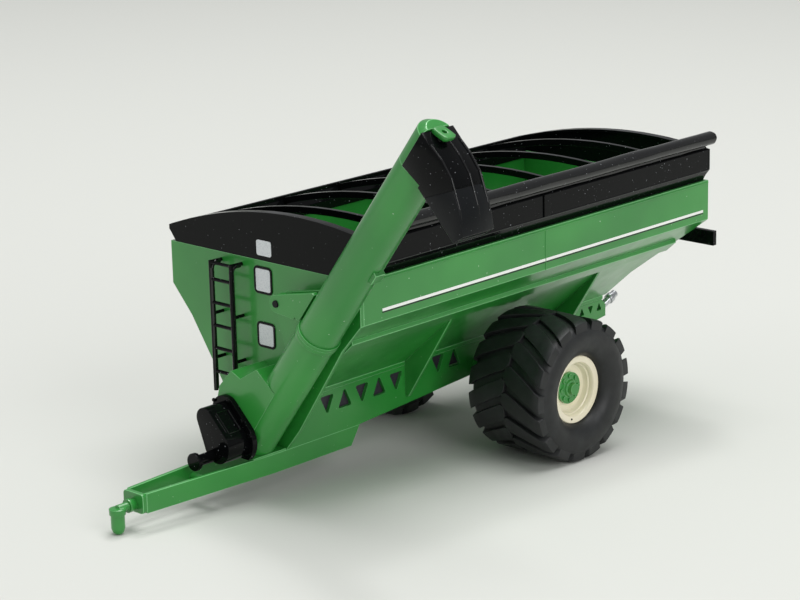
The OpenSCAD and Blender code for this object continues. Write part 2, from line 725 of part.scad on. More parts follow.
// The low far side only flares out to a short lip
far_line = [[ext_in + ext_t, tank_top - ext_lap], [ext_in + ext_t, tank_top + 0.2],
            [ext_out, far_top - 1], [ext_out, far_top]];
module extension_right() color(black) right_side() extension_sheet(far_line);

// The room between the two extension sheets, seen from the front
near_in = ribbon(ext_line(near_top), ext_t);
far_in = ribbon(far_line, ext_t);
module extension_room()
  polygon(concat([for (i = [9 : -1 : 5]) near_in[i]],
                 [[near_in[5][0], near_top + 5], [-far_in[4][0], near_top + 5]],
                 [for (i = [4 : 7]) [-far_in[i][0], far_in[i][1]]]));

// An end wall under an arch, with its foot on the rim
module cap_wall(far, near, rise)
  polygon(concat([[-ext_in, tank_top], [-ext_out, tank_top + 2.4]],
                 arch_line(-ext_out, ext_out, far, near, rise),
                 [[ext_out, tank_top + 2.4], [ext_in, tank_top]]));

module front_cap() color(black) {
  front_view(front_y, front_y + cap_t) cap_wall(far_top, cap_near, cap_rise);
  front_view(front_y + cap_t, front_y + cap_flange)
    polygon(arch_band(-ext_out + 2, ext_out - 2, far_top, cap_near, cap_rise, 0.6));
}
module rear_cap() color(black) {
  front_view(rear_y - cap_t, rear_y) cap_wall(far_top, near_top - 0.6, bow_rise);
  front_view(rear_y - cap_flange, rear_y - cap_t)
    polygon(arch_band(-ext_out + 2, ext_out - 2, far_top, near_top - 0.6, bow_rise, 0.6));
}

bow_first = 15.6;                 // from the tank's front to the first bow
bow_last = 12.6;                  // from the last bow to the tank's rear
bow_pitch = (tank_l - bow_first - bow_last) / (bow_n - 1);
bow_end = ext_out - ext_t;
module bows() color(black)
  for (i = [0 : bow_n - 1])
    let (y = front_y + bow_first + i * bow_pitch)
    front_view(y - bow_w / 2, y + bow_w / 2)
      intersection() {
        polygon(arch_band(-bow_end, bow_end, bow_far, bow_near, bow_rise, bow_h));
        extension_room();
      }

module joint_strips() color(black)
  for (s = [0, 1]) mirror([s, 0, 0])
    let (top = tank_top + 2.9 + (s == 0 ? near_h - far_h : 0))
    front_view(-4, -2)
      polygon([[ext_out, tank_top + 2.4], [ext_out + 0.3, tank_top + 2.5],
               [ext_out + 0.3, top], [ext_out, top]]);

module tarp_roll() color(black)
  rod_y(front_y + cap_flange + 0.9, rear_y + 0.6, half_w, roll_z, roll_r);
module tarp_roll_ends() color(black)
  for (y = [front_y + cap_flange + 0.1, rear_y + 0.6]) rod_y(y, y + 0.8, half_w, roll_z, roll_r * 0.72);

// ---- tail light bar ----

bar_half = half_w + 1.3;
bar_z = 36.2;
bar_h = 3.3;
bar_y = rear_y + 0.2;
module light_bar() color(black)
  front_view(bar_y, bar_y + 1.2)
    translate([-bar_half, bar_z - bar_h / 2]) square([2 * bar_half, bar_h]);

function tail_at(z) = tail_y + (z - tail_knee_z) * tail_setback / (panel_z - tail_knee_z);
module light_bar_brackets() color(black)
  for (x = [-12, 12])
    side_view(x - 0.5, x + 0.5)
      polygon([[tail_at(bar_z - 1.2), bar_z - 1.2], [tail_at(bar_z + 1.2), bar_z + 1.2],
               [bar_y, bar_z + 1.2], [bar_y, bar_z - 1.2]]);

// ---- drawing ----
from_axle() front_sheet();
from_axle() side_sheet_left();
from_axle() side_sheet_right();
from_axle() rear_sheet();
from_axle() hopper_floor();
from_axle() hopper_rail_left();
from_axle() hopper_rail_right();
from_axle() gussets_left();
from_axle() gussets_right();
from_axle() frame_plate_left();
from_axle() frame_plate_right();
from_axle() frame_liner();
from_axle() frame_tail_plate();
from_axle() tail_coupler();
from_axle() drawbar_rail_left();
from_axle() drawbar_rail_right();
from_axle() drawbar_nose();
from_axle() drawbar_cross_tubes();
from_axle() hitch_pin();
from_axle() axle_tube();
from_axle() axle_shaft();
from_axle() rim_left();
from_axle() rim_right();
from_axle() tyre_left();
from_axle() tyre_right();
from_axle() hub_left();
from_axle() hub_right();
from_axle() wheel_bolts_left();
from_axle() wheel_bolts_right();
from_axle() boot_base();
from_axle() boot_housing();
from_axle() gearbox_flange();
from_axle() gearbox();
from_axle() gearbox_bolts();
from_axle() pto_stub();
from_axle() lower_tube();
from_axle() lower_flange();
from_axle() fold_pin();
from_axle() upper_tube();
from_axle() upper_flange();
from_axle() auger_head_cap();
from_axle() spout_hood();
from_axle() spout_chute();
from_axle() spout_bracket();
from_axle() saddle_clip();
from_axle() ladder();
from_axle() ladder_standoffs();
from_axle() window_frames();
from_axle() window_panes();
from_axle() side_stripes();
from_axle() extension_left();
from_axle() extension_right();
from_axle() front_cap();
from_axle() rear_cap();
from_axle() bows();
from_axle() joint_strips();
from_axle() tarp_roll();
from_axle() tarp_roll_ends();
from_axle() light_bar();
from_axle() light_bar_brackets();
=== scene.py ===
# %% [markdown]
# # A 1:64 grain cart, from its CAD model to a finished scene
#
# The real object is a die-cast collector's model: thick enamelled castings for the tank, frame and
# auger, glossy moulded plastic for the tarp frame, spout and gearbox, and soft rubber tyres. The CAD
# model already holds every size and every joint, so this script only adds what the eye needs:
# rounded casting edges, finer shapes where the CAD is plain, and a real finish on every surface.

# %% Load the CAD frame
import bmesh
import bpy
import json
import math
from mathutils import Matrix, Vector

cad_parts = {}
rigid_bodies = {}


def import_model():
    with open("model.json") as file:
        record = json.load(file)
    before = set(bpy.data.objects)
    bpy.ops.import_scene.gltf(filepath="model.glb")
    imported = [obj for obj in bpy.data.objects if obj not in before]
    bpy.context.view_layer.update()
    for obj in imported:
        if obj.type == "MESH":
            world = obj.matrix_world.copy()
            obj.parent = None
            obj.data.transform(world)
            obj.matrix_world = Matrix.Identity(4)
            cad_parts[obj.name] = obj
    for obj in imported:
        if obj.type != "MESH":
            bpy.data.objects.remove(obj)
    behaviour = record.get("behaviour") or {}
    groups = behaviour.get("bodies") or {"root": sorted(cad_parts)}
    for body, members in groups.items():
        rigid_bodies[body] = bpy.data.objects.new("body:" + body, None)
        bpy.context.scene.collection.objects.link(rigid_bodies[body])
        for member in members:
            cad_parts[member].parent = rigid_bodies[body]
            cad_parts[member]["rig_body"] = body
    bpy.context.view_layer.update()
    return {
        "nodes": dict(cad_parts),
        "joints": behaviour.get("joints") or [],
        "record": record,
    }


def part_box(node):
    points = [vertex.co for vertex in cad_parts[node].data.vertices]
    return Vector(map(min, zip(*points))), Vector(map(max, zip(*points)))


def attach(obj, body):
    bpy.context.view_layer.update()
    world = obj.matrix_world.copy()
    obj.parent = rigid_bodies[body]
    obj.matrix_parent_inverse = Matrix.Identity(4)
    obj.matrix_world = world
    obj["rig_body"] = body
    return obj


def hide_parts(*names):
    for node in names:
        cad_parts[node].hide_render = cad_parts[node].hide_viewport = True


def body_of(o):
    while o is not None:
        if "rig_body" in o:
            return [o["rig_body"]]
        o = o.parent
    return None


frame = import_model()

mm = 0.001

# %% [markdown]
# ## Reading sizes from the frame
#
# A piece fits without trial and error when its place is read from the CAD node that it belongs to.
# A node's box gives two corners, which is enough for sheets, wheels and pins that lie along an axis.

# %% Sizes that later cells share
def low(node):
    return Vector(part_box(node)[0])


def high(node):
    return Vector(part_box(node)[1])


def middle(node):
    return (low(node) + high(node)) / 2


joints = {j["name"]: j for j in frame["joints"]}
axle = Vector(joints["wheel_left_spin"]["pos_m"])
tyre_radius = (high("tyre_left") - low("tyre_left")).z / 2
tyre_width = (high("tyre_left") - low("tyre_left")).x
half_tank = high("front_sheet").x
tank_top = high("front_sheet").z
front_face = low("front_sheet").y
tail_face = high("side_sheet_left").y
print("tyre", round(tyre_radius / mm, 2), "by", round(tyre_width / mm, 2), "mm")

# %% [markdown]
# ## Camera
#
# The view decides how much care each piece needs, so the camera comes first. It stands ahead of the
# cart on its left, a little above it, with a long lens. A long lens keeps a small model from looking
# stretched, which is also how a catalogue shows such models.

# %% Put the camera in place
VIEW_AZIMUTH = math.radians(43.584)
VIEW_ELEVATION = math.radians(15.454)
VIEW_ROLL = math.radians(-1.385)
VIEW_DISTANCE = 0.540
view_target = Vector((-14.12, 93.74, 20.60)) * mm

backward = Vector((math.sin(VIEW_AZIMUTH) * math.cos(VIEW_ELEVATION),
                   -math.cos(VIEW_AZIMUTH) * math.cos(VIEW_ELEVATION),
                   math.sin(VIEW_ELEVATION)))
camera = bpy.data.objects.new("camera", bpy.data.cameras.new("camera"))
bpy.context.scene.collection.objects.link(camera)
camera.data.lens = 111.86
camera.data.clip_start = 0.01
camera.rotation_mode = "QUATERNION"
roll_turn = Matrix.Rotation(VIEW_ROLL, 4, "Z").to_quaternion()
camera.rotation_quaternion = backward.to_track_quat("Z", "Y") @ roll_turn
camera.location = view_target + backward * VIEW_DISTANCE
bpy.context.scene.camera = camera
bpy.context.scene.view_settings.view_transform = "Standard"
print("camera", round(VIEW_DISTANCE / mm), "mm from the cart")

# %% [markdown]
# ## Stage
#
# The cart rests on its two tyres and the foot of its hitch pin. The pin's foot is higher than the
# tyres' lowest point while the body is level, so the real model stands a little nose-down. The CAD
# stays level and the floor is tilted instead, which looks the same and moves no part. The floor curves
# up into a backdrop behind the cart, so no horizon line shows.

# %% Helpers that turn a bmesh into an object
def finish_mesh(bm, name, material):
    mesh = bpy.data.meshes.new(name)
    bm.to_mesh(mesh)
    bm.free()
    obj = bpy.data.objects.new(name, mesh)
    bpy.context.scene.collection.objects.link(obj)
    mesh.materials.append(material)
    return obj


def add(tree, kind, inputs=None, **settings):
    """Adds a node, applies its settings, and sets or links its inputs."""
    node = tree.nodes.new(kind)
    for key, value in settings.items():
        setattr(node, key, value)
    for key, value in (inputs or {}).items():
        if isinstance(value, bpy.types.NodeSocket):
            tree.links.new(value, node.inputs[key])
        else:
            node.inputs[key].default_value = value
    return node


def linear(hex_colour):
    """An sRGB hex colour as the linear RGBA that shaders expect."""
    values = [int(hex_colour[i:i + 2], 16) / 255 for i in (1, 3, 5)]
    return (*[v / 12.92 if v <= 0.04045 else ((v + 0.055) / 1.055) ** 2.4 for v in values], 1)


def new_material(name):
    material = bpy.data.materials.new(name)
    material.use_nodes = True
    return material, material.node_tree, material.node_tree.nodes["Principled BSDF"]


# %% Make the floor and its backdrop
def paper_backdrop():
    """Matt white studio paper: no gloss, with a trace of grey."""
    material, tree, shader = new_material("studio_paper")
    shader.inputs["Base Color"].default_value = linear("#CDCEC9")
    shader.inputs["Roughness"].default_value = 0.9
    shader.inputs["Specular IOR Level"].default_value = 0.1
    return material


pin_foot = low("hitch_pin")
tyre_foot = low("tyre_left")
floor_tilt = math.atan((pin_foot.z - tyre_foot.z) / axle.y)

FLOOR_REACH = 1.6
COVE_RADIUS = 0.5
bm = bmesh.new()
strip = [bm.verts.new((side * 3 * FLOOR_REACH, -3 * FLOOR_REACH, 0)) for side in (-1, 1)]
edge = bm.edges.new(strip)
grown = bmesh.ops.extrude_edge_only(bm, edges=[edge])["geom"]
far_edge = [g for g in grown if isinstance(g, bmesh.types.BMVert)]
bmesh.ops.translate(bm, vec=(0, 4 * FLOOR_REACH, 0), verts=far_edge)
rim = [g for g in grown if isinstance(g, bmesh.types.BMEdge)]
bmesh.ops.spin(bm, geom=rim, cent=(0, FLOOR_REACH, COVE_RADIUS), axis=(1, 0, 0), angle=math.radians(80),
               steps=24)
bmesh.ops.rotate(bm, verts=bm.verts, cent=(0, 0, 0), matrix=Matrix.Rotation(-floor_tilt, 3, "X"))
bmesh.ops.translate(bm, verts=bm.verts, vec=(0, axle.y, tyre_foot.z))
floor = finish_mesh(bm, "studio_floor", paper_backdrop())
for polygon in floor.data.polygons:
    polygon.use_smooth = True
print("floor tilted", round(math.degrees(floor_tilt), 2), "degrees")

# %% [markdown]
# ## Light
#
# Enamel and glossy plastic show mostly what they reflect. One large soft panel overhead gives the
# broad highlights along the tubes and top edges. One on the right and a weak one in front model the
# side and front walls, a small bright one puts sparks on polished edges, and a pale surround keeps the
# undersides readable.

# %% Place the soft panels
def soft_panel(name, place, size, power):
    lamp = bpy.data.lights.new(name, "AREA")
    lamp.shape = "SQUARE"
    lamp.size = size
    lamp.energy = power
    obj = bpy.data.objects.new(name, lamp)
    bpy.context.scene.collection.objects.link(obj)
    obj.location = place
    obj.rotation_mode = "QUATERNION"
    obj.rotation_quaternion = (Vector(place) - view_target).to_track_quat("Z", "Y")


soft_panel("top_panel", (0.10, 0.40, 2.10), 1.5, 34.0)
soft_panel("spark_panel", (-0.25, 0.45, 0.85), 0.14, 1.6)
soft_panel("right_panel", (0.90, -0.05, 0.50), 0.6, 3.6)
soft_panel("front_panel", (-0.35, -0.95, 0.50), 0.5, 1.5)
world = bpy.data.worlds.new("pale_surround")
bpy.context.scene.world = world
world.use_nodes = True
world.node_tree.nodes["Background"].inputs["Color"].default_value = linear("#F2F4F5")
world.node_tree.nodes["Background"].inputs["Strength"].default_value = 0.42
print("4 soft panels")

# %% [markdown]
# ## Finishes
#
# ** Enamel.** A die-cast model is sprayed with solvent enamel. It lies thick and glossy and dries with a
# faint orange peel, and its rounded edges get a lighter colour, a painted highlight. The colour drifts a
# little where the spray built up. A coat layer over a coloured base gives that depth.

# %% Green enamel
def place_of(tree):
    return add(tree, "ShaderNodeTexCoord").outputs["Object"]


def noise(tree, size_mm, detail=2.0, roughness=0.5):
    """Cloud-like noise whose features are about size_mm across."""
    return add(tree, "ShaderNodeTexNoise", {"Vector": place_of(tree), "Scale": 1 / (size_mm * mm),
                                            "Detail": detail, "Roughness": roughness})


def spread(tree, value, low_in, high_in, low_out=0.0, high_out=1.0):
    return add(tree, "ShaderNodeMapRange", {"Value": value, "From Min": low_in, "From Max": high_in,
                                            "To Min": low_out, "To Max": high_out}).outputs["Result"]


def blend_colour(tree, factor, first, second):
    node = add(tree, "ShaderNodeMix", data_type="RGBA")
    for index, value in ((0, factor), (6, first), (7, second)):
        if isinstance(value, bpy.types.NodeSocket):
            tree.links.new(value, node.inputs[index])
        else:
            node.inputs[index].default_value = value
    return node.outputs[2]


def enamel(name, hex_deep, hex_bright, hex_edge_highlight):
    """Sprayed gloss enamel on die-cast zinc: wet-looking, slightly wavy, with a painted highlight colour on
    rounded edges.
    """
    material, tree, shader = new_material(name)
    drift = spread(tree, noise(tree, 22).outputs["Fac"], 0.35, 0.65)
    colour = blend_colour(tree, drift, linear(hex_deep), linear(hex_bright))
    # The marked edge faces take a lighter colour: a painted highlight.
    rounded = add(tree, "ShaderNodeAttribute", attribute_name="edge").outputs["Fac"]
    colour = blend_colour(tree, rounded, colour, linear(hex_edge_highlight))
    specks = spread(tree, noise(tree, 0.5, 0).outputs["Fac"], 0.86, 0.88, 0, 0.5)
    colour = blend_colour(tree, specks, colour, linear("#CFE3CC"))
    tree.links.new(colour, shader.inputs["Base Color"])
    peel = add(tree, "ShaderNodeBump", {"Height": noise(tree, 1.1, 3).outputs["Fac"], "Strength": 0.10,
                                        "Distance": 0.06 * mm})
    tree.links.new(peel.outputs["Normal"], shader.inputs["Normal"])
    gloss = spread(tree, noise(tree, 5).outputs["Fac"], 0.3, 0.7, 0.30, 0.40)
    tree.links.new(gloss, shader.inputs["Roughness"])
    shader.inputs["IOR"].default_value = 1.5
    shader.inputs["Coat Weight"].default_value = 0.5
    shader.inputs["Coat Roughness"].default_value = 0.12
    return material


# The third colour of each enamel is a painted highlight for the rounded edges.
green_enamel = enamel("gloss_green_enamel", "#22802E", "#2F8F37", "#6DB874")
cream_enamel = enamel("gloss_cream_enamel", "#F0E6C6", "#F5EDD4", "#FFFBEE")
print("enamels: green and cream")

# %% [markdown]
# **Moulded plastic.** The tarp frame, spout, ladder and gearbox are injection-moulded and very
# glossy. Deep black hides its own colour, so it is seen by its reflections and by pale dust, which
# always settles on such a surface. The roll, its ledge, the ladder's uprights and the raised black
# lines are the same plastic with a stronger reflection, and the chute is a satin charcoal.

# %% Black plastics
def moulded(name, hex_base, gloss, dust, mirror):
    """Injection-moulded ABS: mirror-like skin with shallow sink marks and pale dust specks."""
    material, tree, shader = new_material(name)
    specks = spread(tree, noise(tree, 0.42, 1).outputs["Fac"], 0.74, 0.78, 0, dust)
    colour = blend_colour(tree, specks, linear(hex_base), linear("#C9CDD2"))
    tree.links.new(colour, shader.inputs["Base Color"])
    tree.links.new(spread(tree, specks, 0, 1, gloss, 0.8), shader.inputs["Roughness"])
    sink = add(tree, "ShaderNodeBump", {"Height": noise(tree, 4.5, 2).outputs["Fac"], "Strength": 0.18,
                                        "Distance": 0.12 * mm})
    tree.links.new(sink.outputs["Normal"], shader.inputs["Normal"])
    shader.inputs["IOR"].default_value = 1.53
    shader.inputs["Specular IOR Level"].default_value = mirror
    return material


gloss_black = moulded("gloss_black_abs", "#08090A", 0.10, 0.4, 0.11)
polished_black = moulded("polished_black_abs", "#08090A", 0.08, 0.4, 0.5)
satin_black = moulded("satin_charcoal_abs", "#121416", 0.30, 0.3, 0.14)
print("plastics: gloss black, polished black and satin charcoal")

# %% [markdown]
# ** Rubber, steel and prints.** The tyres are soft PVC with a satin skin and a fine grain left by the
# mould. The shaft and tail pin are bare bright steel. Windows and stripe are pad-printed ink: flat,
# slightly rough, with the dot grain of the pad. The plates behind the frame's holes get that film in dark
# purple-grey.

# %% Rubber, steel and ink
def soft_tyre():
    """Satin PVC rubber: dark, with a fine mould grain and a dry bloom in patches."""
    material, tree, shader = new_material("satin_tyre_rubber")
    bloom = spread(tree, noise(tree, 3.0, 4).outputs["Fac"], 0.45, 0.75, 0, 0.35)
    colour = blend_colour(tree, bloom, linear("#111314"), linear("#2B2E30"))
    tree.links.new(colour, shader.inputs["Base Color"])
    grain = add(tree, "ShaderNodeBump", {"Height": noise(tree, 0.35, 3, 0.6).outputs["Fac"],
                                         "Strength": 0.25, "Distance": 0.04 * mm})
    tree.links.new(grain.outputs["Normal"], shader.inputs["Normal"])
    satin = spread(tree, noise(tree, 2.0).outputs["Fac"], 0.3, 0.7, 0.42, 0.55)
    tree.links.new(satin, shader.inputs["Roughness"])
    shader.inputs["IOR"].default_value = 1.5
    return material


def turned_steel():
    """Bright machined steel: mirror-like with fine turning marks."""
    material, tree, shader = new_material("bright_turned_steel")
    marks = noise(tree, 0.25, 3)
    colour = blend_colour(tree, marks.outputs["Fac"], linear("#B2B5B8"), linear("#DADCDE"))
    tree.links.new(colour, shader.inputs["Base Color"])
    tree.links.new(spread(tree, marks.outputs["Fac"], 0.3, 0.7, 0.22, 0.38), shader.inputs["Roughness"])
    shader.inputs["Metallic"].default_value = 1.0
    return material


def pad_print(name, hex_ink, hex_dots, roughness=0.5):
    """Pad-printed ink: an even, slightly rough film with a fine dot grain."""
    material, tree, shader = new_material(name)
    dots = add(tree, "ShaderNodeTexVoronoi", {"Vector": place_of(tree), "Scale": 1 / (0.28 * mm)})
    factor = spread(tree, dots.outputs["Distance"], 0.25, 0.55)
    tree.links.new(blend_colour(tree, factor, linear(hex_ink), linear(hex_dots)), shader.inputs["Base Color"])
    film = add(tree, "ShaderNodeBump", {"Height": factor, "Strength": 0.1, "Distance": 0.01 * mm})
    tree.links.new(film.outputs["Normal"], shader.inputs["Normal"])
    shader.inputs["Roughness"].default_value = roughness
    return material


tyre_rubber = soft_tyre()
bright_steel = turned_steel()
pane_ink = pad_print("window_grey_ink", "#CDD1D6", "#DEE1E4")
stripe_ink = pad_print("stripe_white_ink", "#F1F1EE", "#F7F7F5")
border_ink = pad_print("border_black_ink", "#101113", "#17181A", 0.4)
# The plates behind the frame's holes get a flat dark purple-grey film with the same dot grain.
hole_plate_film = pad_print("hole_plate_dark_film", "#231E28", "#2B2631")
finish_of = {"green_paint": green_enamel, "black_gloss": gloss_black, "chute_black": satin_black,
             "cream_paint": cream_enamel, "tyre_rubber": tyre_rubber, "bare_steel": bright_steel,
             "pane_grey": pane_ink, "stripe_white": stripe_ink, "liner_dark": hole_plate_film}
slot_of = {part["node"]: part["material_slot"] for part in frame["record"]["subparts"]}
print(len(slot_of), "nodes have a finish")

# %% [markdown]
# ## Castings
#
# The CAD sheets, tubes and brackets have the right shape but knife edges. No casting or moulding has
# those: paint and the mould itself round every edge to about a tenth of a millimetre, and those tiny
# rounds draw the bright lines along the model. Each plain node is copied, its loose triangles are
# merged and its flat faces rejoined, and every crease is bevelled. The new faces are marked, so that
# the enamel can paint a lighter highlight colour there.

# %% Copy a node with rounded edges
def casting(node, rounding, finish=None, crease=25, steps=2, flat=True):
    source = frame["nodes"][node]
    bm = bmesh.new()
    bm.from_mesh(source.data)
    # This layer marks the bevel faces, where the enamel paints its edge highlight.
    edge_highlight_layer = bm.faces.layers.float.new("edge")
    bmesh.ops.remove_doubles(bm, verts=bm.verts, dist=0.003 * mm)
    bmesh.ops.dissolve_limit(bm, angle_limit=math.radians(1.5), verts=bm.verts, edges=bm.edges)
    creases = [e for e in bm.edges if e.is_manifold and e.calc_face_angle() > math.radians(crease)]
    if creases:
        rounds = bmesh.ops.bevel(bm, geom=creases, offset=rounding * mm, offset_type="OFFSET", segments=steps,
                                 profile=0.5, affect="EDGES", clamp_overlap=True, material=-1)
        for face in rounds["faces"]:
            face[edge_highlight_layer] = 1.0
    obj = finish_mesh(bm, node + "_cast", finish or finish_of[slot_of[node]])
    smooth_piece(obj, flat=flat)
    settle(obj, node)


def smooth_piece(obj, angle=50, flat=True):
    """Shades smooth, with creases over the angle kept crisp, and flat faces kept flat if asked."""
    obj.data.shade_smooth()
    obj.data.set_sharp_from_angle(angle=math.radians(angle))
    if flat:
        obj.modifiers.new("flat_faces_stay_flat", "WEIGHTED_NORMAL").keep_sharp = True


def settle(obj, *nodes):
    """The piece rides where its nodes ride and stands for them."""
    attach(obj, body_of(frame["nodes"][nodes[0]])[0])
    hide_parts(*nodes)


# %% Round the edges of every plain node
HEAVY_CAST = ["front_sheet", "side_sheet_left", "side_sheet_right", "rear_sheet", "hopper_floor",
              "hopper_rail_left", "hopper_rail_right", "gussets_left", "gussets_right", "frame_tail_plate",
              "drawbar_rail_left", "drawbar_rail_right", "drawbar_nose", "drawbar_cross_tubes", "hitch_pin",
              "axle_tube", "boot_base", "boot_housing", "lower_tube", "lower_flange", "upper_tube",
              "upper_flange", "auger_head_cap", "saddle_clip",
              "frame_plate_left", "frame_plate_right"]
FINE_MOULDED = ["gearbox_flange", "gearbox_bolts", "pto_stub", "ladder",
                "ladder_standoffs", "extension_left", "extension_right", "front_cap", "rear_cap", "bows",
                "joint_strips", "tarp_roll_ends", "window_frames", "light_bar", "light_bar_brackets"]
SMALL_METAL = ["tail_coupler", "axle_shaft"]
HUB_PARTS = ["wheel_bolts_left", "wheel_bolts_right", "hub_left", "hub_right"]
for node in HEAVY_CAST:
    casting(node, 0.12)
for node in FINE_MOULDED:
    casting(node, 0.10)
for node in ("spout_hood", "spout_chute"):
    casting(node, 0.15, flat=False)
casting("gearbox", 0.75, steps=5, flat=False)
for node in SMALL_METAL:
    casting(node, 0.06)
casting("fold_pin", 0.06, satin_black)
for node in HUB_PARTS:
    casting(node, 0.06, green_enamel)
OTHERS = ["spout_hood", "spout_chute", "gearbox", "fold_pin"]
print(len(HEAVY_CAST + FINE_MOULDED + SMALL_METAL + HUB_PARTS + OTHERS), "nodes rounded")

# %% [markdown]
# ## Tyres
#
# The real tyres are moulded in one piece: a round-shouldered casing with two rows of wide, slanting
# lugs that meet in a staggered line at the middle. The casing is a lathe shape, so it is spun from its
# profile. A lug is one flat grid laid on the casing and extruded to the tread, with a small knob on
# its nose. It is bevelled, and then turned round the axle seventeen times for each row.

# %% Spin a closed profile round a wheel's axle
def spun(profile, steps=96):
    """profile holds (radius, distance along X) pairs in mm, and closes on itself."""
    bm = bmesh.new()
    ring = [bm.verts.new((x * mm, 0, r * mm)) for r, x in profile]
    edges = [bm.edges.new(pair) for pair in zip(ring, ring[1:] + ring[:1])]
    bmesh.ops.spin(bm, geom=ring + edges, cent=(0, 0, 0), axis=(1, 0, 0), angle=math.tau, steps=steps,
                   use_merge=True)
    bmesh.ops.remove_doubles(bm, verts=bm.verts, dist=0.002 * mm)
    bmesh.ops.recalc_face_normals(bm, faces=bm.faces)
    return bm


# %% Shape one lug
LUG_COUNT = 17
LUG_ARC = 3.8
LUG_LEAN = math.tan(math.radians(23))
LUG_BEND = 0.012
tread_r = tyre_radius / mm
half_tread = tyre_width / mm / 2
CASING = [(7.2, 7.2), (7.5, 8.1), (8.3, 9.1), (9.6, 9.8), (11.3, 9.98), (12.8, 9.7), (13.8, 8.9),
          (14.2, 7.5), (14.3, 4.5), (14.35, 0)]


def on_tread(side, across, arc, radius):
    """A point on a tread: across from the middle line, arc along the ground, both in mm."""
    turn = (arc + LUG_LEAN * across + LUG_BEND * across ** 2) / tread_r
    return Vector((side * across, -radius * math.cos(turn), -radius * math.sin(turn))) * mm


def add_lug(bm, side, turn, finished):
    """Adds one lug to the tyre. finished holds the vertices of the casing and of the lugs made before."""
    grid = bmesh.ops.create_grid(bm, x_segments=10, y_segments=3, size=0.5)["verts"]
    shape = {v: (v.co.x + 0.5, v.co.y) for v in grid}
    for vert, (u, v) in shape.items():
        across = -0.5 + u * (half_tread + 0.15)
        nose = 0.55 if u < 0.05 else 1.0
        vert.co = on_tread(side, across, v * LUG_ARC * 1.1 * nose, 13.5 if u < 0.85 else 12.9)
    faces = list({f for v in grid for f in v.link_faces})
    raised = bmesh.ops.extrude_face_region(bm, geom=faces, use_keep_orig=True)["geom"]
    top = [g for g in raised if isinstance(g, bmesh.types.BMVert)]
    for low_vert in grid:
        high_vert = min(top, key=lambda t: (t.co - low_vert.co).length)
        top.remove(high_vert)
        u, v = shape[low_vert]
        across = -0.35 + u * (half_tread - 0.15)
        nose = 0.6 if u < 0.05 else 1.0
        drop = max(0.0, across - 8.2)
        high_vert.co = on_tread(side, across, v * LUG_ARC * nose, tread_r - 0.04 - 0.22 * drop ** 2)
    knob = bmesh.ops.create_uvsphere(bm, u_segments=10, v_segments=6, radius=0.5 * mm)["verts"]
    bmesh.ops.scale(bm, verts=knob, vec=(1.3, 1, 1))
    bmesh.ops.translate(bm, verts=knob, vec=on_tread(side, 0.25, 0.9, tread_r - 0.58))
    part = [v for v in bm.verts if v not in finished]
    faces = list({f for v in part for f in v.link_faces})
    bmesh.ops.recalc_face_normals(bm, faces=faces)
    creases = [e for e in {e for f in faces for e in f.edges} if e.calc_face_angle(0) > math.radians(38)]
    bmesh.ops.bevel(bm, geom=creases, offset=0.16 * mm, offset_type="OFFSET", segments=2, profile=0.5,
                    affect="EDGES", clamp_overlap=True, material=-1)
    part = [v for v in bm.verts if v not in finished]
    bmesh.ops.rotate(bm, verts=part, cent=(0, 0, 0), matrix=Matrix.Rotation(turn, 3, "X"))
    finished.update(part)


# %% Mould both tyres
for side, node in ((1, "tyre_left"), (-1, "tyre_right")):
    section = CASING + [(r, -x) for r, x in reversed(CASING[:-1])]
    bm = spun(section)
    finished = set(bm.verts)
    for index in range(LUG_COUNT):
        pitch = math.tau / LUG_COUNT
        add_lug(bm, side, index * pitch, finished)
        add_lug(bm, -side, (index + 0.5) * pitch, finished)
    bmesh.ops.translate(bm, verts=bm.verts, vec=middle(node))
    tyre = finish_mesh(bm, node + "_moulded", tyre_rubber)
    smooth_piece(tyre, 40)
    settle(tyre, node)
    print(node, len(tyre.data.polygons), "faces")

# %% [markdown]
# ## Rims
#
# Each rim is a cream-enamelled dish: a broad flat ring outside, a step into the barrel, and a disc
# deep inside that carries the green hub. It is another lathe shape, and its profile breaks the outer
# corners, as thick enamel does. A small stub in the outer ring is black: painted shade for the valve hole.

# %% Spin the rims
RIM_OUT = 7.45
RIM = [(7.22, RIM_OUT - 0.55), (7.2, RIM_OUT - 0.15), (7.05, RIM_OUT), (5.85, RIM_OUT - 0.12),
       (5.6, RIM_OUT - 0.4), (5.5, 6.3), (5.25, 6.1), (5.1, 5.3), (4.9, 5.05), (4.55, 5.0),
       (4.4, 4.9), (1.3, 4.9), (1.3, 3.6), (4.6, 3.6), (5.6, 2.6), (6.3, -7.4), (7.2, -7.4)]
for side, word in ((1, "left"), (-1, "right")):
    wheel_centre = middle("tyre_" + word)
    bm = spun([(r, side * x) for r, x in RIM])
    bmesh.ops.translate(bm, verts=bm.verts, vec=wheel_centre)
    rim_piece = finish_mesh(bm, "rim_" + word + "_dish", cream_enamel)
    smooth_piece(rim_piece, 35)
    settle(rim_piece, "rim_" + word)

    # The valve stub is black as a painted shade for the valve hole.
    bm = bmesh.new()
    bmesh.ops.create_cone(bm, cap_ends=True, segments=12, radius1=0.26 * mm, radius2=0.18 * mm,
                          depth=0.5 * mm)
    corners = [e for e in bm.edges if e.calc_face_angle(0) > 1]
    bmesh.ops.bevel(bm, geom=corners, offset=0.05 * mm, segments=2, offset_type="OFFSET", profile=0.5,
                    affect="EDGES", clamp_overlap=True, material=-1)
    bmesh.ops.rotate(bm, verts=bm.verts, cent=(0, 0, 0), matrix=Matrix.Rotation(side * math.pi / 2, 3, "Y"))
    in_ring = Vector((side * (RIM_OUT - 0.15), -1.6, -6.1)) * mm
    bmesh.ops.translate(bm, verts=bm.verts, vec=wheel_centre + in_ring)
    valve = finish_mesh(bm, "valve_hole_shade_" + word, gloss_black)
    smooth_piece(valve, 35)
    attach(valve, "wheel_" + word)
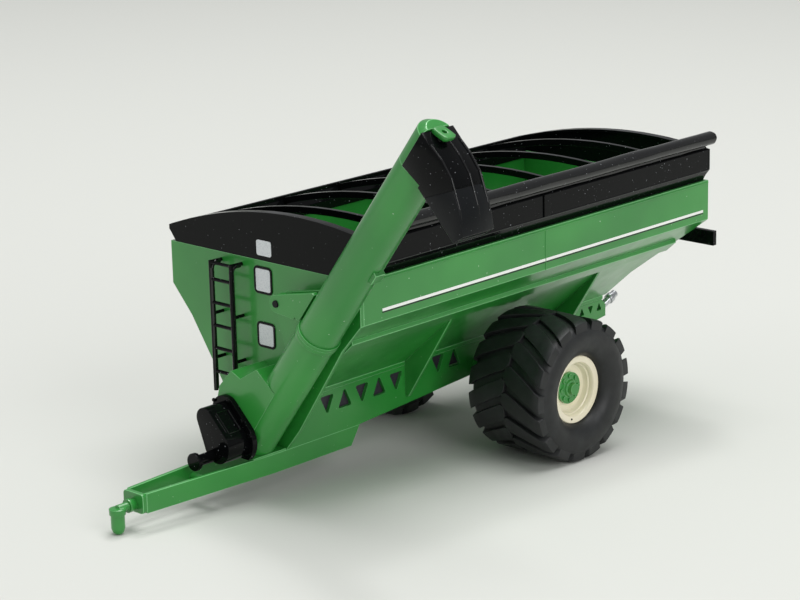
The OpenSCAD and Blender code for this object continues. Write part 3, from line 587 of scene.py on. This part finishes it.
print("rims and valves made")

# %% [markdown]
# ## Tarp roll and its ledge
#
# On the full-size cart the cover is a roll of tarp along the left edge. Here it is moulded, but the
# mould copies the cloth: the roll is not quite round, with long soft wrinkles, and it lies on a thin
# uneven ledge. Both are stretched shapes moved in and out by a smooth noise, so their highlights break
# up as they do on the model.

# %% Mould the roll and the ledge
from mathutils import noise as cloud


def wrinkle(point, stretch, size_mm):
    return cloud.noise(Vector((point.x, point.y / stretch, point.z)) / (size_mm * mm))


def bar_along_y(low_corner, high_corner, steps, segments=0, radius=0.0):
    """A square or round bar from low_corner.y to high_corner.y, cut into steps along its length."""
    bm = bmesh.new()
    centre = (low_corner + high_corner) / 2
    if segments:
        bmesh.ops.create_circle(bm, cap_ends=True, segments=segments, radius=radius)
    else:
        bmesh.ops.create_grid(bm, x_segments=1, y_segments=1, size=0.5)
        across = high_corner - low_corner
        bmesh.ops.scale(bm, verts=bm.verts, vec=(across.x, across.z, 1))
    bmesh.ops.rotate(bm, verts=bm.verts, cent=(0, 0, 0), matrix=Matrix.Rotation(math.pi / 2, 3, "X"))
    bmesh.ops.translate(bm, verts=bm.verts, vec=(centre.x, low_corner.y, centre.z))
    tip = list(bm.faces)
    for _ in range(steps):
        tip = [g for g in bmesh.ops.extrude_face_region(bm, geom=tip)["geom"]
               if isinstance(g, bmesh.types.BMFace)]
        moved = list({v for f in tip for v in f.verts})
        bmesh.ops.translate(bm, verts=moved, vec=(0, (high_corner.y - low_corner.y) / steps, 0))
    start = [e for e in bm.edges if e.is_boundary]
    if start:
        bmesh.ops.contextual_create(bm, geom=start)
    bmesh.ops.recalc_face_normals(bm, faces=bm.faces)
    return bm


roll_low, roll_high = low("tarp_roll"), high("tarp_roll")
roll_r = (roll_high - roll_low).x / 2
roll_axis = (roll_low + roll_high) / 2
bm = bar_along_y(roll_low, roll_high, 110, 28, roll_r)
for vert in bm.verts:
    off = Vector((vert.co.x - roll_axis.x, 0, vert.co.z - roll_axis.z))
    if off.length > roll_r / 2:
        vert.co -= off.normalized() * (0.10 + 0.13 * wrinkle(vert.co, 5, 2.2)) * mm
roll = finish_mesh(bm, "tarp_roll_wrinkled", polished_black)
smooth_piece(roll, 50, flat=False)
settle(roll, "tarp_roll")

wall_top = high("extension_left")
ledge_low = Vector((wall_top.x - 1.5 * mm, roll_low.y + 1 * mm, wall_top.z - 0.15 * mm))
ledge_high = Vector((wall_top.x - 0.1 * mm, roll_high.y - 2 * mm, wall_top.z + 0.25 * mm))
bm = bar_along_y(ledge_low, ledge_high, 160)
for vert in bm.verts:
    wave = wrinkle(vert.co, 3, 2.0)
    vert.co.z += 0.14 * wave * mm
    vert.co.x += (0.1 * max(0.0, wave) - 0.1) * mm
ledge = finish_mesh(bm, "tarp_ledge", polished_black)
smooth_piece(ledge, 30, flat=False)
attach(ledge, "cart")
print("roll", round(2 * roll_r / mm, 1), "mm across")

# %% [markdown]
# ## Raised lines on the panels and the spout
#
# Real sheets are stiffened by folded lips, and the mould shows them as thin raised lines: three along
# the spout's outer face, one along each black wall, one down the joint in each green panel.
# A round bead along a path is the plain way to make each, because it catches light like a fold.
# The printed stripe's dark outline is made the same way.

# %% Lay beads along paths
def bead(name, points_mm, radius_mm, material, body):
    bm = bmesh.new()
    ring = bmesh.ops.create_circle(bm, cap_ends=True, segments=10, radius=radius_mm * mm)["verts"]
    first = (points_mm[1] - points_mm[0]).normalized()
    bmesh.ops.rotate(bm, verts=ring, cent=(0, 0, 0), matrix=first.to_track_quat("Z", "Y").to_matrix())
    bmesh.ops.translate(bm, verts=ring, vec=points_mm[0] * mm)
    tip, heading = list(bm.faces), first
    for index in range(1, len(points_mm)):
        tip = [g for g in bmesh.ops.extrude_face_region(bm, geom=tip)["geom"]
               if isinstance(g, bmesh.types.BMFace)]
        moved = list({v for f in tip for v in f.verts})
        bmesh.ops.translate(bm, verts=moved, vec=(points_mm[index] - points_mm[index - 1]) * mm)
        after = points_mm[min(index + 1, len(points_mm) - 1)] - points_mm[index - 1]
        turn = heading.rotation_difference(after.normalized()).to_matrix()
        bmesh.ops.rotate(bm, verts=moved, cent=points_mm[index] * mm, matrix=turn)
        heading = after.normalized()
    start = [e for e in bm.edges if e.is_boundary]
    if start:
        bmesh.ops.contextual_create(bm, geom=start)
    bmesh.ops.recalc_face_normals(bm, faces=bm.faces)
    obj = finish_mesh(bm, name, material)
    smooth_piece(obj, 60, flat=False)
    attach(obj, body)


# The auger's axis leans from its foot, which lies low in the boot.
AUGER_LEAN = math.radians(36.87)
FOOT_X, FOOT_Z = 0.84, 6.82
foot = Vector((FOOT_X, middle("upper_tube").y / mm, FOOT_Z))


def on_auger(out, along, back=0.0):
    """A point beside the auger, in mm: out from its axis, along it from its foot, and back to the tail."""
    turned = Matrix.Rotation(AUGER_LEAN, 3, "Y") @ Vector((out, 0, along))
    return foot + turned + Vector((0, back, 0))


HOOD_FACE = [(1.8, 85.5), (5.2, 85.1), (8.8, 84.0), (10.6, 82.8), (13.5, 80.8), (16.85, 77.6)]
for name, back in (("hood_bead_front", -3.75), ("hood_bead_rear", 3.75), ("hood_bead_middle", 1.0)):
    bead(name, [on_auger(o, u, back) for o, u in HOOD_FACE], 0.2, polished_black, "auger_top")

print("3 lines on the spout")

# %% Lay the lines on the walls and panels
LIP_UP = 2.35
JOINT_BACK = 54.5
JOINT_DEPTH = 8.9
STRIPE_DOWN = 7.22
panel_x = half_tank / mm
front_mm, tail_mm, top_mm = front_face / mm, tail_face / mm, tank_top / mm


def along_wall(x, from_front, from_tail, z):
    return [Vector((x, y, z)) for y in (front_mm + from_front, tail_mm - from_tail)]


for side, word in ((1, "left"), (-1, "right")):
    wall_x = high("extension_left").x / mm if side > 0 else -low("extension_right").x / mm
    bead("wall_lip_" + word, along_wall(side * (wall_x - 0.03), 0.8, 0.8, top_mm + LIP_UP),
         0.2, polished_black, "cart")
    joint = [Vector((side * panel_x, front_mm + JOINT_BACK, top_mm - down)) for down in (JOINT_DEPTH, 0.2)]
    bead("panel_joint_" + word, joint, 0.13, green_enamel, "cart")
    bead("panel_lip_" + word, along_wall(side * panel_x, 0.5, 0.2, top_mm - 0.5),
         0.16, green_enamel, "cart")
    bead("stripe_outline_" + word, along_wall(side * (panel_x - 0.06), 6, 2, top_mm - STRIPE_DOWN),
         0.14, border_ink, "cart")
print("8 lines on the walls and panels")

# %% [markdown]
# The ladder's uprights are round bars that bend back to the front sheet at the top. The gearbox's
# slanting side holds a sunk panel inside a raised outline, with a second line before it. Beads make
# both.

# %% Lay the ladder's uprights and the gearbox's outline
ladder_low, ladder_high = low("ladder") / mm, high("ladder") / mm
rail_y, rail_top = ladder_low.y + 0.55, ladder_high.z - 0.55
for word, x in (("right", ladder_low.x + 0.5), ("left", ladder_high.x - 0.5)):
    upright = [(0, ladder_low.z + 0.3), (0, rail_top - 1.0), (0.35, rail_top - 0.3), (1.0, rail_top),
               (2.2, rail_top)]
    bead("ladder_rail_" + word, [Vector((x, rail_y + back, z)) for back, z in upright],
         0.55, polished_black, "cart")

box_front, box_back = low("gearbox").y / mm, high("gearbox").y / mm
SIDE_HIGH, SIDE_LOW = Vector((-0.25, 0, 15.26)), Vector((3.96, 0, 11.09))
OUTLINE_FRONT, OUTLINE_BACK = box_front + 1.5, box_back - 0.7


def down_side(share, y):
    return SIDE_HIGH.lerp(SIDE_LOW, share) + Vector((0, y, 0))


for name, start, stop, y in (("gearbox_panel_rear", 0.10, 0.92, OUTLINE_BACK),
                             ("gearbox_panel_front", 0.10, 0.92, OUTLINE_FRONT),
                             ("gearbox_double_line", 0.16, 0.86, box_front + 1.0)):
    bead(name, [down_side(start, y), down_side(stop, y)], 0.13, polished_black, "cart")
for name, share in (("gearbox_panel_high", 0.10), ("gearbox_panel_low", 0.92)):
    bead(name, [down_side(share, OUTLINE_FRONT), down_side(share, OUTLINE_BACK)],
         0.13, polished_black, "cart")
print("2 uprights and 5 lines on the gearbox")

# %% [markdown]
# ## Spout bracket
#
# A flat eyed plate on top of the auger's head, where the tarp strap hooks on. It is a ring bridged
# between a round hole and a rounded outline, given thickness, and bevelled.

# %% Make the eyed plate
bm = bmesh.new()
hole = bmesh.ops.create_circle(bm, segments=24, radius=0.42 * mm)["verts"]
outline = bmesh.ops.create_circle(bm, segments=24, radius=1.0)["verts"]
for vert in outline:
    reach = max(abs(vert.co.x) / 1.9, abs(vert.co.y) / 1.5)
    vert.co *= 0.93 * mm / max(reach, 1e-6) ** 0.85
bmesh.ops.bridge_loops(bm, edges=bm.edges)
thick = bmesh.ops.extrude_face_region(bm, geom=bm.faces[:], use_keep_orig=True)["geom"]
bmesh.ops.translate(bm, verts=[g for g in thick if isinstance(g, bmesh.types.BMVert)], vec=(0, 0, 0.95 * mm))
bmesh.ops.recalc_face_normals(bm, faces=bm.faces)
rims = [e for e in bm.edges if e.calc_face_angle(0) > math.radians(50)]
bmesh.ops.bevel(bm, geom=rims, offset=0.1 * mm, offset_type="OFFSET", segments=2, profile=0.5,
                affect="EDGES", clamp_overlap=True, material=-1)
bmesh.ops.rotate(bm, verts=bm.verts, cent=(0, 0, 0), matrix=Matrix.Rotation(math.radians(30), 3, "Y"))
bmesh.ops.scale(bm, verts=bm.verts, vec=(1.25, 1.15, 1))
bmesh.ops.translate(bm, verts=bm.verts, vec=on_auger(0.9, 86.15, -0.4) * mm)
bracket = finish_mesh(bm, "strap_eye_plate", green_enamel)
smooth_piece(bracket)
settle(bracket, "spout_bracket")
print("eyed plate made")

# %% Remaining nodes keep their shape and get their finish
for node, obj in frame["nodes"].items():
    if not obj.hide_render:
        obj.data.materials.clear()
        obj.data.materials.append(finish_of[slot_of[node]])
